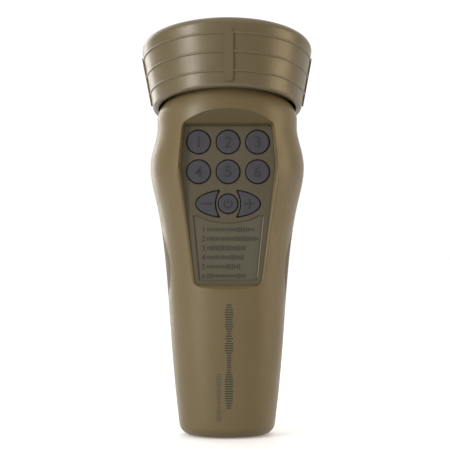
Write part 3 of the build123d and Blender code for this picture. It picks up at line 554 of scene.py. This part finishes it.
cell_sleeve = Finish("cell_sleeve", 0.28, coat=0.3)
cell_height = cell_sleeve.node("ShaderNodeSeparateXYZ", {}, {0: cell_sleeve.place}, output="Z")
cell_low, cell_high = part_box("cell_1")
band_edge = cell_high.z - 0.0145
band = cell_height > band_edge
rim_low = cell_height < (cell_low.z + 0.0011)
rim_high = cell_height > (cell_high.z - 0.0021)
sleeve = cell_sleeve.blend(band, tone(34, 36, 38), tone(170, 122, 52))
bare = cell_sleeve.blend(rim_low + rim_high, sleeve, tone(188, 188, 186))
cell_sleeve.colour(bare)
cell_sleeve.roughness(0.22 + cell_sleeve.noise(300, 3) * 0.14)
cell_sleeve.grain(cell_sleeve.noise(1500, 2), 0.00001)
dress(cell_sleeve, "cell_1", "cell_2", "cell_3")

nickel = bright_metal("nickel", tone(172, 168, 158), tone(212, 208, 198), 0.26, (6, 6, 1))
dress(nickel, "flat_contacts")
spring_low, spring_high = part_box("spring_contacts")
spring_plate = 0.0004
spring_width = 0.0080
spring_radius = 0.0028
wire = 0.00030
coil_turns = 2
coil_steps = 48
coil_rise = 0.0017
springs = bmesh.new()
cell_boxes = [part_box("cell_" + str(number)) for number in (1, 2, 3)]
for number, (low, high) in enumerate(cell_boxes):
    centre = ((low.x + high.x) / 2, (low.y + high.y) / 2)
    at_foot = number != 1
    upwards = 1 if at_foot else -1
    plate_z = spring_low.z + spring_plate / 2 if at_foot else spring_high.z - spring_plate / 2
    made = bmesh.ops.create_cube(springs, size=1.0)["verts"]
    bmesh.ops.scale(springs, vec=(spring_width, spring_width, spring_plate), verts=made)
    bmesh.ops.translate(springs, vec=(*centre, plate_z), verts=made)
    edges = list({edge for vert in made for edge in vert.link_edges})
    bmesh.ops.bevel(
        springs, geom=edges, offset=0.00012, affect="EDGES", segments=2, profile=0.5, material=-1
    )
    coil_z = plate_z + upwards * (spring_plate / 2 + wire)
    ring = bmesh.ops.create_circle(springs, segments=8, radius=wire, cap_ends=True)["verts"]
    bmesh.ops.rotate(springs, cent=(0, 0, 0), matrix=Matrix.Rotation(math.radians(90), 3, "X"), verts=ring)
    bmesh.ops.translate(springs, vec=(centre[0] + spring_radius, centre[1], coil_z), verts=ring)
    cap = list({face for vert in ring for face in vert.link_faces})
    cap_edges = list({edge for vert in ring for edge in vert.link_edges})
    bmesh.ops.spin(
        springs,
        geom=cap + cap_edges + ring,
        cent=(*centre, coil_z),
        axis=(0, 0, 1),
        dvec=(0, 0, upwards * (coil_rise - 2 * wire) / coil_steps),
        angle=math.radians(360 * coil_turns),
        steps=coil_steps,
        use_duplicate=False,
    )
bmesh.ops.recalc_face_normals(springs, faces=springs.faces[:])
coil_springs = as_piece(springs, "coil_springs", "housing", nickel)
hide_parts("spring_contacts")

# ---------------------------------------------------------------- keypad web, board and its parts
# Behind the faceplate a silicone web carries the key stems over metal domes on a green board. The
# board's back holds three black chips and two can capacitors.
web_grey = soft_rubber("web_grey", tone(150, 150, 148), tone(170, 170, 168), 0.5)
dress(web_grey, "keypad_web")
dress(nickel, "switch_domes")

laminate = Finish("laminate", 0.35, coat=0.4)
across = laminate.stretched((1, 1, 1), (math.radians(90), 0, 0))
tracks = laminate.node(
    "ShaderNodeTexBrick",
    {"offset": 0.5, "squash": 0.6},
    {"Vector": across, "Scale": 260.0, "Mortar Size": 0.05, "Mortar Smooth": 0.1},
    output="Fac",
)
pads = laminate.node(
    "ShaderNodeTexVoronoi", {"feature": "F1"}, {"Vector": across, "Scale": 330.0, "Randomness": 0.6}
)
green = laminate.blend(tracks * 0.7, tone(22, 70, 44), tone(60, 118, 74))
laminate.colour(laminate.blend(pads < 0.22, green, tone(176, 160, 104)))
laminate.roughness(0.3 + laminate.noise(500, 2) * 0.15)
laminate.grain(tracks, 0.00003)
dress(laminate, "circuit_board")

resin = Finish("resin", 0.5)
resin.colour(resin.blend(resin.noise(1500, 3), tone(26, 26, 27), tone(40, 40, 41)))
resin.roughness(0.42 + resin.noise(800, 2) * 0.2)
resin.grain(resin.noise(2600, 2), 0.00002)
dress(resin, "chips")

can_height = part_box("capacitors")[1].y
can = Finish("can", 0.3)
can_depth = can.node("ShaderNodeSeparateXYZ", {}, {0: can.place}, output="Y")
can_top = can_depth > (can_height - 0.0004)
can.colour(can.blend(can_top, tone(28, 40, 74), tone(190, 190, 188)))
can.roughness(0.26 + can.noise(700, 2) * 0.12)
can.grain(can.noise(1200, 2), 0.00001)
dress(can, "capacitors")

# ---------------------------------------------------------------- speaker
# A 60 mm paper cone speaker is screwed to the shelf in the bell: pressed steel frame, ferrite magnet,
# copper voice coil, paper cone and dust cap, and a foam roll round the edge.
basket = bright_metal("basket", tone(128, 128, 124), tone(160, 160, 155), 0.4, (1, 1, 1))
dress(basket, "speaker_frame")
ferrite = Finish("ferrite", 0.6)
ferrite.colour(ferrite.blend(ferrite.noise(900, 4), tone(44, 44, 46), tone(66, 66, 68)))
ferrite.roughness(0.5 + ferrite.noise(600, 3) * 0.2)
ferrite.grain(ferrite.noise(1400, 3), 0.00004)
dress(ferrite, "speaker_magnet")
copper = Finish("copper", 0.32, metallic=1.0)
turns = copper.node(
    "ShaderNodeTexWave",
    {"wave_type": "BANDS", "bands_direction": "Z"},
    {"Vector": copper.place, "Scale": 1400.0, "Distortion": 0.0},
)
# Painted shade: the colour follows the turns' bump, darker in the grooves between turns and paler on their
# crests.
copper.colour(copper.blend(turns, tone(150, 82, 46), tone(206, 124, 78)))
copper.grain(turns, 0.00005)
dress(copper, "voice_coil")
paper = Finish("paper", 0.8)
fibres = paper.noise(1500, 4, paper.stretched((1, 1, 2.5)))
paper.colour(paper.blend(fibres, tone(30, 30, 29), tone(52, 50, 47)))
paper.roughness(0.72 + fibres * 0.2)
paper.grain(fibres, 0.00008)
dress(paper, "speaker_cone", "dust_cap")
foam = Finish("foam", 0.9)
bubbles = foam.node("ShaderNodeTexVoronoi", {"feature": "F1"}, {"Vector": foam.place, "Scale": 1700.0})
# Painted shade: the colour follows the cells' bump, darker in the pits and paler on the raised cell walls.
foam.colour(foam.blend(bubbles, tone(26, 26, 26), tone(44, 44, 43)))
foam.grain(bubbles, 0.00010)
dress(foam, "cone_surround")

# ---------------------------------------------------------------- grille and its ring
# A perforated steel dome, painted dark, closes the bell. A moulded ring snaps in over its rim.
grille_paint = Finish("grille_paint", 0.45, coat=0.1)
chips_off = grille_paint.noise(900, 4) > 0.72
peel = grille_paint.noise(1600, 2)
grille_paint.colour(grille_paint.blend(chips_off * 0.6, tone(44, 42, 37), tone(92, 88, 80)))
grille_paint.roughness(0.38 + peel * 0.16)
grille_paint.grain(peel, 0.00003)
dress(grille_paint, "grille")
dress(latch_brown, "grille_ring")

# ---------------------------------------------------------------- wires
# Thin stranded wires in soft plastic, one red and one black in each pair, run from the cells to the
# board and from the board to the speaker.
wire_plastic = Finish("wire_plastic", 0.4)
side = wire_plastic.node("ShaderNodeSeparateXYZ", {}, {0: wire_plastic.place}, output="X")
wire_plastic.colour(wire_plastic.blend(side > 0.0, tone(24, 24, 25), tone(158, 30, 26)))
wire_plastic.roughness(0.36 + wire_plastic.noise(900, 2) * 0.1)
wire_plastic.grain(wire_plastic.noise(1800, 2), 0.00002)
dress(wire_plastic, "battery_wires", "speaker_wires")
